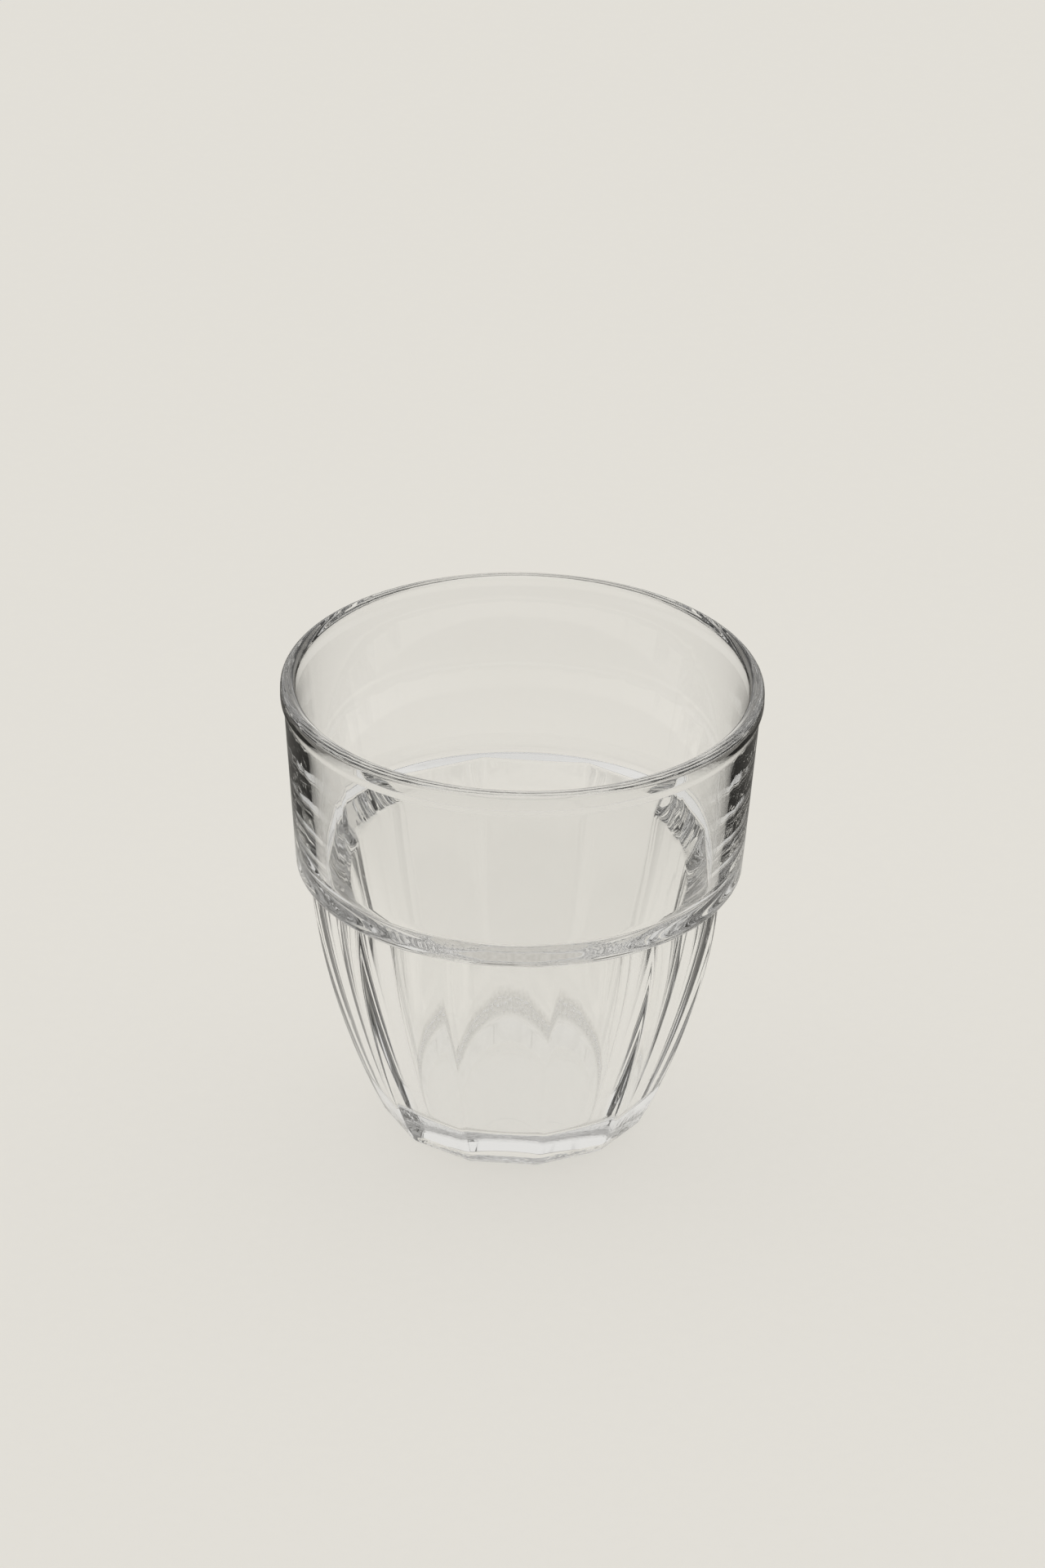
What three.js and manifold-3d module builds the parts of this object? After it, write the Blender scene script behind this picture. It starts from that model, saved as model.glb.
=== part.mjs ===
// Faceted tumbler of clear pressed glass, one solid piece.
// Millimetres, +Z up, origin on the axis in the plane that the glass stands on.
// The upper band is round. The lower body has flat sides, and one of them faces -Y.
import * as THREE from 'three';
import { mergeVertices } from 'three/addons/utils/BufferGeometryUtils.js';
import Module from 'manifold-3d';

// Outside: foot, faceted body, shoulder and band
const HEIGHT = 86;
const RIM_DIAMETER = 85.5;
const FACETS = 12;
const FACET_EDGE_ROUND = 3;
const FOOT_DIAMETER = 47.4;
const FOOT_EDGE = 1.7;
const SHOULDER_HEIGHT = 50;
const SHOULDER_ROUND = 1;
const SHOULDER_STEP = 2.2;
const BAND_DRAFT_DEG = 4.2;

// Handles of the curve that the facet corners follow, as shares of its flare and height
const LOW_FLARE = 0.44;
const LOW_RISE = 0.234;
const HIGH_FLARE = 0.957;
const HIGH_RISE = 0.672;

// Rim: a bead that stands out from the band, with a rounded lip
const BEAD_HEIGHT = 4.4;
const BEAD_STEP = 0.65;
const BEAD_ROUND = 1;
const RIM_WALL = 2.6;

// Inside: round throughout, a tapered bowl with a flat floor and a soft ledge behind the shoulder
const BAND_WALL = 3.8;
const BODY_WALL = 5.35;
const LEDGE_HEIGHT = 54;
const LEDGE_DROP = 6.4;
const BOWL_SWELL = 1.85;
const FLOOR_DIAMETER = 36.7;
const FLOOR_EDGE = 1.5;
const BASE_THICKNESS = 6.7;

// Underside: a shallow hollow, so that the glass stands on a ring
const PUNT_DIAMETER = 36.4;
const PUNT_DEPTH = 1.2;

// Fineness of the surfaces
const STEPS_PER_FACET = 6;
const SIDE_STEPS = 14;
const ROUND_STEPS = 5;
const EDGE_STEPS = 4;

const wasm = await Module();
wasm.setup();

const point = (r, z) => new THREE.Vector2(r, z);

// Points on an arc in the profile plane, angles in degrees from outward towards up
function arc(r, z, radius, from, to) {
  const [a, b] = [from, to].map(THREE.MathUtils.degToRad);
  return new THREE.ArcCurve(r, z, radius, a, b, b < a).getPoints(ROUND_STEPS);
}

// Points of a curve that rises from the rim of a flat disc, with the corner between them rounded
function risingFrom(curve, reach) {
  const corner = curve.getPoint(0);
  const share = reach / curve.getLength();
  const inner = point(corner.x - reach, corner.y);
  const outer = curve.getPointAt(share);
  const points = new THREE.QuadraticBezierCurve(inner, corner, outer).getPoints(ROUND_STEPS);
  for (let i = 1; i <= SIDE_STEPS; i += 1) {
    points.push(curve.getPointAt(share + (1 - share) * (i / SIDE_STEPS)));
  }
  return points;
}

// Solid of a lathed surface, once its seam is closed and the empty triangles on the axis are gone
function solidOf(lathe) {
  lathe.rotateX(Math.PI / 2);
  lathe.deleteAttribute('normal');
  lathe.deleteAttribute('uv');
  const { attributes, index } = mergeVertices(lathe);
  const triangles = [];
  for (let i = 0; i < index.count; i += 3) {
    const corners = [index.getX(i), index.getX(i + 1), index.getX(i + 2)];
    if (new Set(corners).size === 3) triangles.push(...corners);
  }
  return new wasm.Manifold(new wasm.Mesh({
    numProp: 3,
    vertProperties: new Float32Array(attributes.position.array),
    triVerts: new Uint32Array(triangles),
  }));
}

// Round solid of a profile that runs from the axis outwards, up and back to the axis
function revolve(profile) {
  return solidOf(new THREE.LatheGeometry(profile, FACETS * STEPS_PER_FACET));
}

// Solid of the same kind with flat sides, the profile being that of their corners before these are rounded
function flatSided(profile) {
  const turn = (2 * Math.PI) / FACETS;
  const columns = FACETS * (EDGE_STEPS + 1);
  const lathe = new THREE.LatheGeometry(profile, columns);
  const { position } = lathe.attributes;
  for (let i = 0; i < position.count; i += 1) {
    const column = Math.floor(i / profile.length);
    const radius = profile[i % profile.length].x;
    const side = Math.floor(column / (EDGE_STEPS + 1));
    const corner = (side + 0.5) * turn;
    const facing = (side + (column % (EDGE_STEPS + 1)) / EDGE_STEPS) * turn;
    const round = Math.min(FACET_EDGE_ROUND, radius);
    const centre = radius - Math.min(round / Math.cos(turn / 2), radius);
    position.setX(i, centre * Math.sin(corner) + round * Math.sin(facing));
    position.setZ(i, centre * Math.cos(corner) + round * Math.cos(facing));
  }
  return solidOf(lathe);
}

const draft = Math.tan(THREE.MathUtils.degToRad(BAND_DRAFT_DEG));

const rimRadius = RIM_DIAMETER / 2;
const lipRound = RIM_WALL / 2;
const lipRadius = rimRadius - lipRound;
const lipZ = HEIGHT - lipRound;
const bandTopZ = HEIGHT - BEAD_HEIGHT;
const bandTop = rimRadius - BEAD_STEP;
const bandFootZ = SHOULDER_HEIGHT + SHOULDER_ROUND;
const bandFoot = bandTop - (bandTopZ - bandFootZ) * draft;

// Faceted body: its corners follow one curve from the foot up to the shoulder
const footRadius = FOOT_DIAMETER / 2;
const bodyTop = bandFoot - SHOULDER_STEP;
const flare = bodyTop - footRadius;
const cornerCurve = new THREE.CubicBezierCurve(
  point(footRadius, 0),
  point(footRadius + LOW_FLARE * flare, LOW_RISE * SHOULDER_HEIGHT),
  point(footRadius + HIGH_FLARE * flare, HIGH_RISE * SHOULDER_HEIGHT),
  point(bodyTop, SHOULDER_HEIGHT),
);
const facetedBody = flatSided([
  point(0, 0),
  ...risingFrom(cornerCurve, FOOT_EDGE),
  point(bodyTop, bandFootZ),
  point(0, bandFootZ),
]);

// Band: rounded shoulder, drafted wall, and the bead up to the crown of the lip
const beadTurn = THREE.MathUtils.radToDeg(Math.acos(1 - BEAD_STEP / BEAD_ROUND));
const beadZ = bandTopZ + Math.sqrt(BEAD_STEP * (2 * BEAD_ROUND - BEAD_STEP));
const band = revolve([
  point(0, SHOULDER_HEIGHT),
  ...arc(bandFoot - SHOULDER_ROUND, bandFootZ, SHOULDER_ROUND, -90, -BAND_DRAFT_DEG),
  ...arc(rimRadius - BEAD_ROUND, beadZ, BEAD_ROUND, -beadTurn, 0),
  ...arc(lipRadius, lipZ, lipRound, 0, 90),
  point(0, HEIGHT),
]);

// Inside: tapered bowl, soft ledge, drafted wall, and the inner half of the lip
const floorRadius = FLOOR_DIAMETER / 2;
const bowlTop = bodyTop * Math.cos(Math.PI / FACETS) - BODY_WALL;
const bowlTopZ = LEDGE_HEIGHT - LEDGE_DROP;
const bowlCurve = new THREE.QuadraticBezierCurve(
  point(floorRadius, BASE_THICKNESS),
  point((floorRadius + bowlTop) / 2 + BOWL_SWELL, (BASE_THICKNESS + bowlTopZ) / 2),
  point(bowlTop, bowlTopZ),
);
const ledgeTop = bandFoot + (LEDGE_HEIGHT - bandFootZ) * draft - BAND_WALL;
const ledgeStart = point(bowlTop, bowlTopZ);
const ledgeEnd = point(ledgeTop, LEDGE_HEIGHT);
const bandInside = point(lipRadius - lipRound, lipZ).sub(ledgeEnd).setLength(LEDGE_DROP / 2);
const ledge = new THREE.CubicBezierCurve(
  ledgeStart,
  bowlCurve.getTangent(1).setLength(LEDGE_DROP / 2).add(ledgeStart),
  ledgeEnd.clone().sub(bandInside),
  ledgeEnd,
);
const inside = revolve([
  point(0, BASE_THICKNESS),
  ...risingFrom(bowlCurve, FLOOR_EDGE),
  ...ledge.getPoints(ROUND_STEPS + 3).slice(1),
  ...arc(lipRadius, lipZ, lipRound, 180, 90),
  point(lipRadius, HEIGHT + lipRound),
  point(0, HEIGHT + lipRound),
]);

// Punt: a shallow dome under the base
const puntRadius = PUNT_DIAMETER / 2;
const dome = (puntRadius ** 2 + PUNT_DEPTH ** 2) / (2 * PUNT_DEPTH);
const domeTurn = THREE.MathUtils.radToDeg(Math.asin(puntRadius / dome));
const punt = revolve([
  point(0, -PUNT_DEPTH),
  point(puntRadius, -PUNT_DEPTH),
  ...arc(0, PUNT_DEPTH - dome, dome, 90 - domeTurn, 90),
]);

const solid = facetedBody.add(band).subtract(inside).subtract(punt).getMesh();
const geometry = new THREE.BufferGeometry();
geometry.setAttribute('position', new THREE.BufferAttribute(solid.vertProperties, 3));
geometry.setIndex(new THREE.BufferAttribute(solid.triVerts, 1));
geometry.computeVertexNormals();

const clearGlass = new THREE.MeshStandardMaterial({
  color: 0xf3f5f1,
  roughness: 0.04,
  metalness: 0,
  transparent: true,
  opacity: 0.35,
});

const glass = new THREE.Mesh(geometry, clearGlass);
glass.name = 'tumbler_glass';

const tumbler = new THREE.Group();
tumbler.add(glass);

export default tumbler;
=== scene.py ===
# Faceted tumbler of clear pressed glass, standing on a pale tabletop.
# The sizes are in millimetres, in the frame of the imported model, and the scene is in metres.
import math

import bpy
from mathutils import Matrix, Vector


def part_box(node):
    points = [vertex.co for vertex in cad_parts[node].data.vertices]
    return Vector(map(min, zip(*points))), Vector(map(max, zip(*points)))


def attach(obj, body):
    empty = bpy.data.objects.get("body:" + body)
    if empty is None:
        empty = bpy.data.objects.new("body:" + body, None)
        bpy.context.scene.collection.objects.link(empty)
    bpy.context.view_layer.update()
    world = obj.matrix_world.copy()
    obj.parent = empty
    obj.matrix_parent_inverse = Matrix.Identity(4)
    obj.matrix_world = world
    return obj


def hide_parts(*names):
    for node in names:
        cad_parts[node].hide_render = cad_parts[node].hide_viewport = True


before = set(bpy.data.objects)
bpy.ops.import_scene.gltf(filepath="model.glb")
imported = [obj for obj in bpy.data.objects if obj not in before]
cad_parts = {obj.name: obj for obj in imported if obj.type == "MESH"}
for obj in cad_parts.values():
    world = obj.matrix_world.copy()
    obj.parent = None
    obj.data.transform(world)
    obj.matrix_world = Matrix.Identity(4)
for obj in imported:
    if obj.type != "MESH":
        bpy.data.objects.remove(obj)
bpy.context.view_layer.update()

MM = 0.001
low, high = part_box("tumbler_glass")

# Outside, from the foot up; the body's sizes are those of its corners before they are rounded
HEIGHT = high[2] / MM
RIM_RADIUS = (high[0] - low[0]) / 2 / MM
FACETS = 12
FACET_EDGE_ROUND = 3.0
FOOT_RADIUS = 23.7
FOOT_ROUND = 1.4
FOOT_HANDLE = (29.84, 11.7)
BODY_HANDLE = (37.06, 33.6)
BODY_TOP = 37.65
SHOULDER_Z = 50.0
SHOULDER_ROUND = 1.0
SHOULDER_FILLET = 0.3
BAND_FOOT = 39.85
BAND_TOP = 42.1

# Rim: a bead that stands out from the band, and a rounded lip
BEAD_HEIGHT = 4.4
BEAD_RISE = 1.4
BEAD_ROUND = 2.0
NOTCH_ROUND = 1.2
RIM_WALL = 2.6
OUTER_LIP_ROUND = RIM_WALL * 0.52
INNER_LIP_ROUND = RIM_WALL * 0.45
LIP_DEPTH = 4.0

# Inside, from the lip down
BAND_INSIDE = 39.8
LEDGE_TOP = (36.3, 54.0)
LEDGE_FOOT = (31.02, 47.6)
LEDGE_SOFTNESS = 0.15
BOWL_HANDLE = (26.53, 27.15)
BOWL_FLOOR_RADIUS = 18.35
BOWL_FLOOR_Z = 6.7
BOWL_FLOOR_ROUND = 2.2
BOWL_FLOOR_ROUND_TOP = BOWL_FLOOR_Z + BOWL_FLOOR_ROUND * 0.75

# Underside: a shallow hollow, so that the glass stands on a ring
PUNT_RADIUS = 18.2
PUNT_DEPTH = 1.2

# Points of the profile where the rim meets the inside
INNER_LIP = (RIM_RADIUS - RIM_WALL, HEIGHT)
LIP_FOOT = (BAND_INSIDE, HEIGHT - LIP_DEPTH)

# Mesh fineness: points on each flat and on each rounded edge, and steps along the profile
FLAT_POINTS = 14
EDGE_POINTS = 8
CURVE_STEPS = 70
FOOT_EDGE_STEPS = 6
ROUND_STEPS = 8
FILLET_STEPS = 6
SHOULDER_STEPS = 14
BAND_STEPS = 12
WALL_STEPS = 22
LEDGE_STEPS = 24
DISC_STEPS = 12

# Distance of a row that keeps a flat ring flat beside a rounding, under smooth shading
SUPPORT = 0.15

# Glass: faint waves all over, and stippling that fades out above the foot and inside the standing ring;
# the same ring is darkened with painted shade where the glass stands on the table
GLASS_IOR = 1.52
GLASS_CLEAREST = (1, 1, 1, 1)
GLASS_TINT = (0.988, 0.99, 0.982, 1)
WAVES_PER_METRE = 70.0
WAVE_DETAIL = 1.0
WAVE_STRENGTH = 0.02
WAVE_DEPTH = 1.0
POLISH_ROUGHNESS = 0.012
STIPPLES_PER_METRE = 900.0
STIPPLE_DETAIL = 1.0
STIPPLE_STRENGTH = 0.6
STIPPLE_DEPTH = 0.4
STIPPLE_ROUGHNESS = 0.18
# Painted contact shade: the colour that darkens the stippled ring where the glass stands on the table
PAINTED_CONTACT_SHADE = (0.44, 0.43, 0.41, 1)
STIPPLE_AND_SHADE_HEIGHTS = (0.5, 2.4)
STIPPLE_AND_SHADE_RADII = (PUNT_RADIUS - 0.4, PUNT_RADIUS + 0.8)

# Tabletop: a fine grain, and its lift, which fades with distance where the glass mirrors the table
TABLE_RADIUS = 3000.0
TABLE_POINTS = 128
TABLE_GAP = 0.1
TABLE_DARKER = (0.245, 0.236, 0.218, 1)
TABLE_PALER = (0.265, 0.256, 0.238, 1)
TABLE_ROUGHNESS = (0.8, 0.95)
GRAINS_PER_METRE = 400.0
GRAIN_DETAIL = 3.0
GRAIN_STRENGTH = 0.05
GRAIN_DEPTH = 0.1
LIFT_LEVEL = 0.63
LIFT_COLOUR = (1.0, 0.972, 0.905, 1)
MIRRORED_LIFT = 0.04
MIRROR_FADE = (85.0, 130.0)

# Light: where it comes from, how it fades away from there, and how bright it and the room are
LIGHT_DIRECTION = (-0.15, 0.75, 0.66)
LIGHT_FADE = (-0.15, 0.65)
LIGHT_LEVEL = 0.76
LIGHT_COLOUR = (1, 0.99, 0.97, 1)
ROOM_LEVEL = 0.03

# Bounces that light needs to pass through all the walls of the glass
GLASS_BOUNCES = 24
MIRROR_BOUNCES = 12

# Camera: where it looks from, and where the middle of the glass falls in the picture
CAMERA_DISTANCE = 1400.0
CAMERA_ELEVATION = 29.25
CAMERA_AZIMUTH = 4.3
CAMERA_ROLL = 1.11
AIM_HEIGHT = 45.0
PICTURE_WIDTH = 1280
PICTURE_HEIGHT = 1920
AIM_PIXEL = (635.3, 1081.0)
FOCAL_PIXELS = 9590.0
SENSOR = 36.0


def bezier(handles, steps):
    """Points along the curve that these handles draw in the profile plane."""
    points = []
    for i in range(steps + 1):
        level = [Vector(handle) for handle in handles]
        while len(level) > 1:
            level = [a.lerp(b, i / steps) for a, b in zip(level, level[1:])]
        points.append(tuple(level[0]))
    return points


def arc(centre, radius, start, end, steps):
    """Points on an arc in the profile plane, with angles in degrees from outward towards up."""
    angles = [math.radians(start + (end - start) * i / steps) for i in range(steps + 1)]
    return [(centre[0] + radius * math.cos(a), centre[1] + radius * math.sin(a)) for a in angles]


def line(a, b, steps):
    """Evenly spaced points from a to b."""
    return [tuple(a[k] + (b[k] - a[k]) * i / steps for k in (0, 1)) for i in range(steps + 1)]


def rounded(a, corner, b, radius):
    """Points on the arc that rounds the corner between the directions to a and to b."""
    corner = Vector(corner)
    to_a = (Vector(a) - corner).normalized()
    to_b = (Vector(b) - corner).normalized()
    half = to_a.angle(to_b) / 2
    centre = corner + (to_a + to_b).normalized() * (radius / math.sin(half))
    start = corner + to_a * (radius / math.tan(half)) - centre
    end = corner + to_b * (radius / math.tan(half)) - centre
    first = math.degrees(math.atan2(start.y, start.x))
    turn = (math.degrees(math.atan2(end.y, end.x)) - first + 180) % 360 - 180
    return arc(centre, radius, first, first + turn, ROUND_STEPS)


def underside():
    """Profile of the hollow, from the axis out to the ring that the glass stands on."""
    shares = [i / DISC_STEPS for i in range(DISC_STEPS + 1)]
    hollow = [(PUNT_RADIUS * share, PUNT_DEPTH * (1 - share ** 2)) for share in shares]
    return hollow + [(PUNT_RADIUS + SUPPORT, 0)]


def faceted_body():
    """Profile of the body's corners, from the foot's rounded edge to the fillet under the shoulder."""
    curve = bezier([(FOOT_RADIUS, 0), FOOT_HANDLE, BODY_HANDLE, (BODY_TOP, SHOULDER_Z)], CURVE_STEPS)
    side = curve[FOOT_EDGE_STEPS:]
    foot_edge = rounded((0, 0), curve[0], side[0], FOOT_ROUND)
    fillet = (BODY_TOP + SHOULDER_FILLET, SHOULDER_Z - SHOULDER_FILLET)
    return [
        (foot_edge[0][0] - SUPPORT, 0),
        *foot_edge,
        *[(r, z) for r, z in side if z < fillet[1]],
        *arc(fillet, SHOULDER_FILLET, 180, 90, FILLET_STEPS),
        (fillet[0] + SUPPORT, SHOULDER_Z),
    ]


def band_and_rim():
    """Profile of the rounded shoulder, the drafted band and the bead, up to the inside of the lip."""
    band_foot = (BAND_FOOT, SHOULDER_Z + SHOULDER_ROUND)
    shoulder = (BAND_FOOT - SHOULDER_ROUND, SHOULDER_Z + SHOULDER_ROUND)
    notch = (BAND_TOP, HEIGHT - BEAD_HEIGHT)
    bead = (RIM_RADIUS, HEIGHT - BEAD_HEIGHT + BEAD_RISE)
    outer_lip = (RIM_RADIUS, HEIGHT)
    return [
        (shoulder[0] - SUPPORT, SHOULDER_Z),
        *arc(shoulder, SHOULDER_ROUND, -90, 0, SHOULDER_STEPS),
        *line(band_foot, notch, BAND_STEPS)[1:-1],
        *rounded(band_foot, notch, bead, NOTCH_ROUND),
        *rounded(notch, bead, outer_lip, BEAD_ROUND),
        *rounded(bead, outer_lip, INNER_LIP, OUTER_LIP_ROUND),
        *rounded(outer_lip, INNER_LIP, LIP_FOOT, INNER_LIP_ROUND),
    ]


def inside():
    """Profile of the wall below the lip, the soft ledge, the tapered bowl and its flat floor."""
    bend = (LEDGE_TOP[1] - LEDGE_FOOT[1]) * LEDGE_SOFTNESS
    wall_slope = (LIP_FOOT[0] - LEDGE_TOP[0]) / (LIP_FOOT[1] - LEDGE_TOP[1])
    bowl_slope = (LEDGE_FOOT[0] - BOWL_HANDLE[0]) / (LEDGE_FOOT[1] - BOWL_HANDLE[1])
    upper_handle = (LEDGE_TOP[0] - wall_slope * bend, LEDGE_TOP[1] - bend)
    lower_handle = (LEDGE_FOOT[0] + bowl_slope * bend, LEDGE_FOOT[1] + bend)
    corner = (BOWL_FLOOR_RADIUS, BOWL_FLOOR_Z)
    bowl = bezier([LEDGE_FOOT, BOWL_HANDLE, corner], CURVE_STEPS)
    floor_edge = (BOWL_FLOOR_RADIUS - BOWL_FLOOR_ROUND, BOWL_FLOOR_Z)
    floor_middle = (0, BOWL_FLOOR_Z)
    return [
        *line(LIP_FOOT, LEDGE_TOP, WALL_STEPS)[:-1],
        *bezier([LEDGE_TOP, upper_handle, lower_handle, LEDGE_FOOT], LEDGE_STEPS),
        *[(r, z) for r, z in bowl[1:] if z > BOWL_FLOOR_ROUND_TOP],
        *rounded(BOWL_HANDLE, corner, floor_middle, BOWL_FLOOR_ROUND),
        *line(floor_edge, floor_middle, DISC_STEPS)[1:],
    ]


def glass_profile():
    """Rows of radius, height and share of facet, from the underside over the lip to the bowl's floor."""
    stretches = [(underside(), 0), (faceted_body(), 1), (band_and_rim(), 0), (inside(), 0)]
    return [(r, z, facet) for points, facet in stretches for r, z in points]


def ring(radius, facet):
    """One turn of points: a polygon with rounded corners where facet is 1, and a circle where it is 0."""
    turn = 2 * math.pi / FACETS
    flat = radius * math.cos(turn / 2)
    # The small turns near the axis have no room for the full rounding
    edge = min(FACET_EDGE_ROUND, flat / 2)
    half_flat = (flat - edge) * math.tan(turn / 2)
    corner = (flat - edge) / math.cos(turn / 2)
    points = []
    for side in range(FACETS):
        middle = side * turn - math.pi / 2
        normal = Vector((math.cos(middle), math.sin(middle)))
        along = Vector((-normal.y, normal.x))
        for i in range(FLAT_POINTS):
            points.append(normal * flat + along * half_flat * (2 * i / (FLAT_POINTS - 1) - 1))
        vertex = Vector((math.cos(middle + turn / 2), math.sin(middle + turn / 2))) * corner
        for i in range(1, EDGE_POINTS):
            angle = middle + turn * i / EDGE_POINTS
            points.append(vertex + Vector((math.cos(angle), math.sin(angle))) * edge)
    return [p * facet + p.normalized() * radius * (1 - facet) for p in points]


def make_glass():
    """The whole glass as one closed mesh, swept row by row along the profile."""
    vertices = []
    faces = []
    last = None
    for radius, z, facet in glass_profile():
        turn = [Vector((0, 0))] if radius == 0 else ring(radius, facet)
        first = len(vertices)
        vertices.extend((p.x * MM, p.y * MM, z * MM) for p in turn)
        row = range(first, len(vertices))
        if last:
            count = max(len(row), len(last))
            for i in range(count):
                j = (i + 1) % count
                if len(last) == 1:
                    faces.append((last[0], row[j], row[i]))
                elif len(row) == 1:
                    faces.append((last[i], last[j], row[0]))
                else:
                    faces.append((last[i], last[j], row[j], row[i]))
        last = row
    mesh = bpy.data.meshes.new("tumbler_visual")
    mesh.from_pydata(vertices, [], faces)
    mesh.update()
    mesh.shade_smooth()
    glass = bpy.data.objects.new("tumbler_visual", mesh)
    bpy.context.scene.collection.objects.link(glass)
    return glass


def new_material(name):
    """An empty node material, its node tree and its output."""
    material = bpy.data.materials.new(name)
    material.use_nodes = True
    tree = material.node_tree
    tree.nodes.clear()
    output = tree.nodes.new("ShaderNodeOutputMaterial")
    return material, tree, output


def add_node(tree, kind, inputs=(), **settings):
    """A node with its settings; inputs are pairs of socket and a value or an output to link."""
    node = tree.nodes.new(kind)
    for name, value in settings.items():
        setattr(node, name, value)
    for socket, value in inputs:
        if isinstance(value, bpy.types.NodeSocket):
            tree.links.new(value, node.inputs[socket])
        else:
            node.inputs[socket].default_value = value
    return node


def calculate(tree, operation, *values):
    """The result of one operation on numbers or outputs."""
    return add_node(tree, "ShaderNodeMath", enumerate(values), operation=operation).outputs[0]


def map_range(tree, value, source, target, interpolation="LINEAR"):
    """The value taken from the source range to the target range, and held at its ends."""
    limits = zip(("From Min", "From Max", "To Min", "To Max"), (*source, *target))
    inputs = [("Value", value), *limits]
    node = add_node(tree, "ShaderNodeMapRange", inputs, interpolation_type=interpolation)
    return node.outputs["Result"]


def mix(tree, share, first, second, data_type):
    """What lies between two colours or numbers, at this share of the way to the second."""
    inputs = [("Factor", share), ("A", first), ("B", second)]
    return add_node(tree, "ShaderNodeMix", inputs, data_type=data_type).outputs["Result"]


def noise(tree, place, scale, detail):
    """Noise from 0 to 1 with this many features in a metre."""
    inputs = [("Vector", place), ("Scale", scale), ("Detail", detail)]
    return add_node(tree, "ShaderNodeTexNoise", inputs).outputs["Fac"]


def bump(tree, height, strength, depth, *normal):
    """A normal that follows this height, and the normal below it where one is given."""
    inputs = [("Height", height), ("Strength", strength), ("Distance", depth * MM)]
    inputs += [("Normal", below) for below in normal]
    return add_node(tree, "ShaderNodeBump", inputs).outputs["Normal"]


def length_of(tree, vector):
    """The length of a vector."""
    return add_node(tree, "ShaderNodeVectorMath", [(0, vector)], operation="LENGTH").outputs["Value"]


def glass_material():
    """Clear glass: faintly wavy from the mould, fire-polished, with a stippled ring where it stands,
    darkened there with painted contact shade.
    """
    material, tree, output = new_material("clear_pressed_glass")
    place = add_node(tree, "ShaderNodeTexCoord").outputs["Object"]
    split = add_node(tree, "ShaderNodeSeparateXYZ", [(0, place)]).outputs
    level_place = add_node(tree, "ShaderNodeCombineXYZ", [("X", split["X"]), ("Y", split["Y"])]).outputs[0]
    heights = [z * MM for z in STIPPLE_AND_SHADE_HEIGHTS]
    radii = [r * MM for r in STIPPLE_AND_SHADE_RADII]
    low_share = map_range(tree, split["Z"], heights, (1.0, 0.0))
    ring_share = map_range(tree, length_of(tree, level_place), radii, (0.0, 1.0))
    foot_share = calculate(tree, "MULTIPLY", low_share, ring_share)

    waves = noise(tree, place, WAVES_PER_METRE, WAVE_DETAIL)
    stipple = noise(tree, place, STIPPLES_PER_METRE, STIPPLE_DETAIL)
    # The stippling's height, which also sets how much painted contact shade darkens the ring
    stipple_and_painted_shade = calculate(tree, "MULTIPLY", stipple, foot_share)
    wavy = bump(tree, waves, WAVE_STRENGTH, WAVE_DEPTH)
    stippled = bump(tree, stipple_and_painted_shade, STIPPLE_STRENGTH, STIPPLE_DEPTH, wavy)
    polish = map_range(tree, waves, (0.0, 1.0), (0.0, POLISH_ROUGHNESS))
    roughness = calculate(tree, "MULTIPLY_ADD", foot_share, STIPPLE_ROUGHNESS, polish)
    clear = mix(tree, waves, GLASS_TINT, GLASS_CLEAREST, "RGBA")
    # Base colour: the glass's tint, darkened towards painted contact shade on the stippled ring where it
    # stands
    tint_and_painted_shade = mix(tree, stipple_and_painted_shade, clear, PAINTED_CONTACT_SHADE, "RGBA")
    glass = add_node(
        tree,
        "ShaderNodeBsdfPrincipled",
        [
            ("Base Color", tint_and_painted_shade),
            ("Roughness", roughness),
            ("IOR", GLASS_IOR),
            ("Transmission Weight", 1.0),
            ("Normal", stippled),
        ],
    )
    tree.links.new(glass.outputs[0], output.inputs["Surface"])
    return material


def table_material():
    """Pale matt surface with a fine grain, lifted where it is seen directly or in the glass.

    Where the glass mirrors it from further away the lift fades, which gives the glass dark edges.
    """
    material, tree, output = new_material("pale_matt_surface")
    place = add_node(tree, "ShaderNodeTexCoord").outputs["Object"]
    grain = noise(tree, place, GRAINS_PER_METRE, GRAIN_DETAIL)
    colour = mix(tree, grain, TABLE_DARKER, TABLE_PALER, "RGBA")
    roughness = map_range(tree, grain, (0.0, 1.0), TABLE_ROUGHNESS)
    grainy = bump(tree, grain, GRAIN_STRENGTH, GRAIN_DEPTH)

    ray = add_node(tree, "ShaderNodeLightPath").outputs
    in_glass = calculate(tree, "MAXIMUM", ray["Is Glossy Ray"], ray["Is Transmission Ray"])
    mirrored = calculate(tree, "MINIMUM", ray["Glossy Depth"], 1.0)
    fade = [distance * MM for distance in MIRROR_FADE]
    fading = map_range(tree, length_of(tree, place), fade, (1.0, MIRRORED_LIFT), "SMOOTHSTEP")
    kept = mix(tree, mirrored, 1.0, fading, "FLOAT")
    seen_in_glass = calculate(tree, "MULTIPLY", in_glass, kept)
    seen = calculate(tree, "MAXIMUM", seen_in_glass, ray["Is Camera Ray"])
    lift = calculate(tree, "MULTIPLY", seen, LIFT_LEVEL)
    surface = add_node(
        tree,
        "ShaderNodeBsdfPrincipled",
        [
            ("Base Color", colour),
            ("Roughness", roughness),
            ("Specular IOR Level", 0.0),
            ("Normal", grainy),
            ("Emission Color", LIFT_COLOUR),
            ("Emission Strength", lift),
        ],
    )
    tree.links.new(surface.outputs[0], output.inputs["Surface"])
    return material


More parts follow.
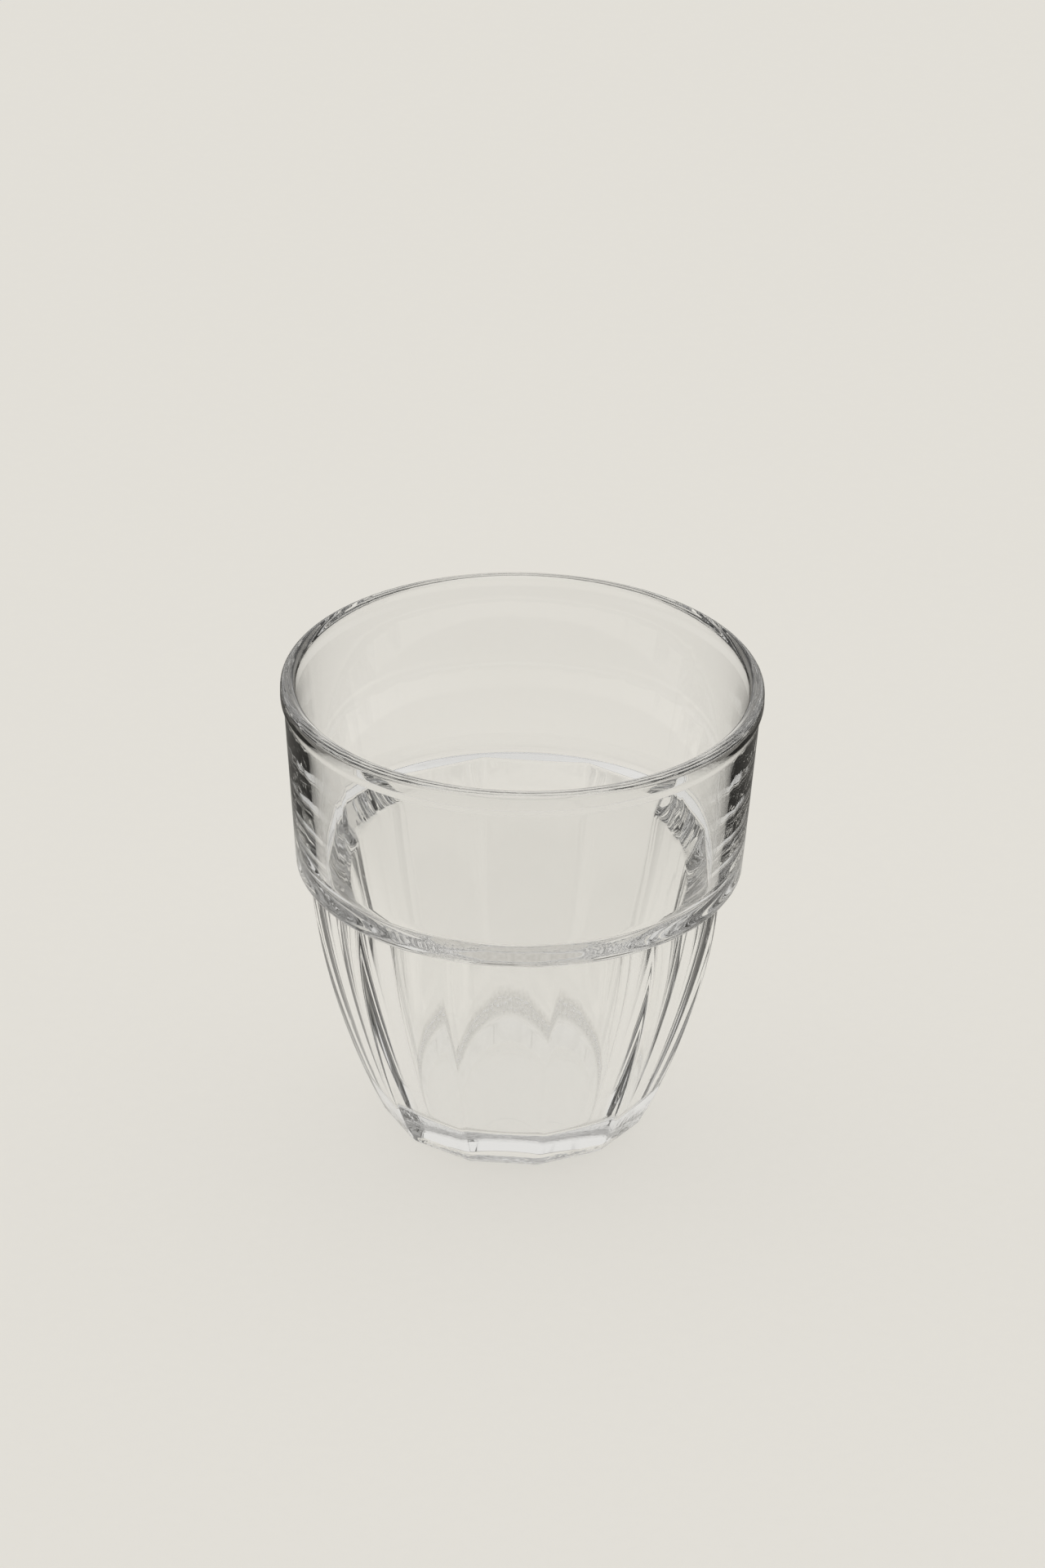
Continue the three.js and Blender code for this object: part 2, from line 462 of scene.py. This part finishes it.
def make_tabletop():
    """A wide round tabletop just under the foot."""
    bpy.ops.mesh.primitive_circle_add(
        vertices=TABLE_POINTS,
        radius=TABLE_RADIUS * MM,
        fill_type="NGON",
        location=(0, 0, -TABLE_GAP * MM),
    )
    tabletop = bpy.context.object
    tabletop.name = "tabletop"
    tabletop.data.materials.append(table_material())
    return tabletop


def make_world():
    """Soft studio light from behind and above, which fades towards a dim room in front.

    Seen directly, the backdrop is as bright as the light on every side.
    """
    world = bpy.data.worlds.new("studio")
    world.use_nodes = True
    tree = world.node_tree
    direction = add_node(tree, "ShaderNodeTexCoord").outputs["Generated"]
    towards_light = add_node(
        tree,
        "ShaderNodeVectorMath",
        [(0, direction), (1, Vector(LIGHT_DIRECTION).normalized())],
        operation="DOT_PRODUCT",
    ).outputs["Value"]
    level = map_range(tree, towards_light, LIGHT_FADE, (ROOM_LEVEL, LIGHT_LEVEL), "SMOOTHSTEP")
    seen = add_node(tree, "ShaderNodeLightPath").outputs["Is Camera Ray"]
    backdrop = calculate(tree, "MULTIPLY", seen, LIGHT_LEVEL)
    strength = calculate(tree, "MAXIMUM", level, backdrop)
    background = tree.nodes["Background"]
    background.inputs["Color"].default_value = LIGHT_COLOUR
    tree.links.new(strength, background.inputs["Strength"])
    bpy.context.scene.world = world


def make_camera():
    """A long lens at the photograph's viewing angle, aimed so that the glass falls where it does there."""
    elevation = math.radians(CAMERA_ELEVATION)
    azimuth = math.radians(CAMERA_AZIMUTH)
    roll = math.radians(CAMERA_ROLL)
    forward = Vector((
        -math.sin(azimuth) * math.cos(elevation),
        math.cos(azimuth) * math.cos(elevation),
        -math.sin(elevation),
    ))
    right = forward.cross(Vector((0, 0, 1))).normalized()
    up = right.cross(forward)
    rolled_right = right * math.cos(roll) + up * math.sin(roll)
    rolled_up = up * math.cos(roll) - right * math.sin(roll)
    place = Vector((0, 0, AIM_HEIGHT * MM)) - forward * (CAMERA_DISTANCE * MM)

    across = (PICTURE_WIDTH / 2 - AIM_PIXEL[0]) / FOCAL_PIXELS
    above = (AIM_PIXEL[1] - PICTURE_HEIGHT / 2) / FOCAL_PIXELS
    aim = (forward + rolled_right * across + rolled_up * above).normalized()
    camera_up = (rolled_up - aim * rolled_up.dot(aim)).normalized()
    camera_right = aim.cross(camera_up)

    data = bpy.data.cameras.new("camera")
    data.sensor_width = SENSOR
    data.lens = FOCAL_PIXELS / PICTURE_HEIGHT * SENSOR
    camera = bpy.data.objects.new("camera", data)
    bpy.context.scene.collection.objects.link(camera)
    turned = Matrix((camera_right, camera_up, -aim)).transposed().to_4x4()
    camera.matrix_world = Matrix.Translation(place) @ turned
    bpy.context.scene.camera = camera


glass = make_glass()
glass.data.materials.append(glass_material())
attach(glass, "root")
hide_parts("tumbler_glass")
make_tabletop()
make_world()
make_camera()

scene = bpy.context.scene
scene.view_settings.view_transform = "Standard"
scene.cycles.max_bounces = GLASS_BOUNCES
scene.cycles.transmission_bounces = GLASS_BOUNCES
scene.cycles.glossy_bounces = MIRROR_BOUNCES
